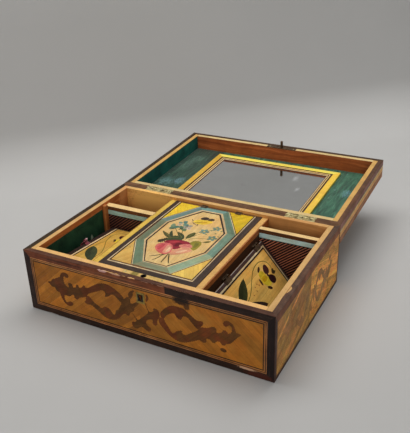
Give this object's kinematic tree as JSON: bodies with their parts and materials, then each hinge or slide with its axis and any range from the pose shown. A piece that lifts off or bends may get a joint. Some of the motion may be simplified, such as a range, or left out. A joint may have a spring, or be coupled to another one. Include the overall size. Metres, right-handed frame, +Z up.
{
  "type": "straw marquetry box",
  "caption": "Open keepsake box covered in straw marquetry, with a mirrored lid, divided interior, three hinged inner lids and a lock.",
  "frame": {"origin": "middle of the base's underside", "axes": "+X to the right, +Y to the back where the open lid lies, +Z up"},
  "size_m": [0.3, 0.4014, 0.0947],
  "materials": {
    "bare_wood": "bare, aged",
    "dark_straw": "satin straw",
    "marquetry": "satin straw",
    "inner_marquetry": "satin straw",
    "striped_straw": "satin straw",
    "frame_straw": "satin straw",
    "green_paper": "matt",
    "green_silk": "satin, on paper",
    "backing_paper": "matt",
    "mirror": "aged silvering",
    "brass": "tarnished",
    "steel": "dark",
    "red_silk": "satin"
  },
  "bodies": {
    "base": {"bottom_board": "bare_wood", "front_board": "bare_wood", "back_board": "bare_wood", "left_board": "bare_wood", "right_board": "bare_wood", "base_rim_banding": "dark_straw", "front_straw_panel": "marquetry", "back_straw_panel": "marquetry", "left_straw_panel": "marquetry", "right_straw_panel": "marquetry", "left_partition": "bare_wood", "right_partition": "bare_wood", "left_cross_divider": "bare_wood", "right_cross_divider": "bare_wood", "left_cross_straw": "striped_straw", "right_cross_straw": "striped_straw", "left_compartment_paper": "green_paper", "right_compartment_paper": "green_paper", "centre_compartment_paper": "green_paper", "centre_lid_ledges": "bare_wood", "left_lid_posts": "bare_wood", "main_hinge_base_leaves": "brass", "main_hinge_pins": "brass", "base_nails": "brass", "lock_case": "brass", "lock_cap": "brass", "lock_key_post": "brass", "lock_spring": "steel", "keyhole_escutcheon": "brass", "inner_hinge_fixed_leaves": "brass", "inner_hinge_pins": "brass"},
    "lock_bolt": {"lock_bolt": "steel"},
    "centre_lid": {"centre_lid_board": "bare_wood", "centre_lid_straw": "inner_marquetry", "centre_hinge_lid_leaves": "brass"},
    "left_lid": {"left_lid_board": "bare_wood", "left_lid_straw": "inner_marquetry", "left_hinge_lid_leaves": "brass", "left_lid_pull": "red_silk"},
    "right_lid": {"right_lid_board": "bare_wood", "right_lid_straw": "inner_marquetry", "right_hinge_lid_leaves": "brass"},
    "main_lid": {"lid_top_board": "bare_wood", "lid_front_board": "bare_wood", "lid_back_board": "bare_wood", "lid_left_board": "bare_wood", "lid_right_board": "bare_wood", "lid_rim_banding": "dark_straw", "lid_side_straw": "marquetry", "lid_top_straw": "marquetry", "lid_floor_lining": "green_silk", "lid_wall_paper": "green_paper", "mirror_frame_rails": "frame_straw", "mirror_backing": "backing_paper", "mirror_glass": "mirror", "main_hinge_lid_leaves": "brass", "lid_nails": "brass", "lid_catch_plate": "steel", "lid_catch_pin": "steel"}
  },
  "joints": [
    {"name": "main_lid_hinge", "type": "hinge", "parent": "base", "child": "main_lid", "pos_m": [0, 0.10015, 0.0771], "axis": [1, 0, 0], "range_deg": [0, 177.7]},
    {"name": "centre_lid_hinge", "type": "hinge", "parent": "base", "child": "centre_lid", "pos_m": [0, 0.0864, 0.0734], "axis": [1, 0, 0], "range_deg": [-92, 0]},
    {"name": "left_lid_hinge", "type": "hinge", "parent": "base", "child": "left_lid", "pos_m": [-0.0709, 0, 0.0484], "axis": [0, -0.9956, 0.0941], "range_deg": [-90, 0]},
    {"name": "right_lid_hinge", "type": "hinge", "parent": "base", "child": "right_lid", "pos_m": [0.0674, 0, 0.0608], "axis": [0, 1, 0], "range_deg": [-139.7, 0]},
    {"name": "lock_bolt_slide", "type": "slide", "parent": "base", "child": "lock_bolt", "axis": [-1, 0, 0], "range_m": [-0.0024, 0]}
  ]
}
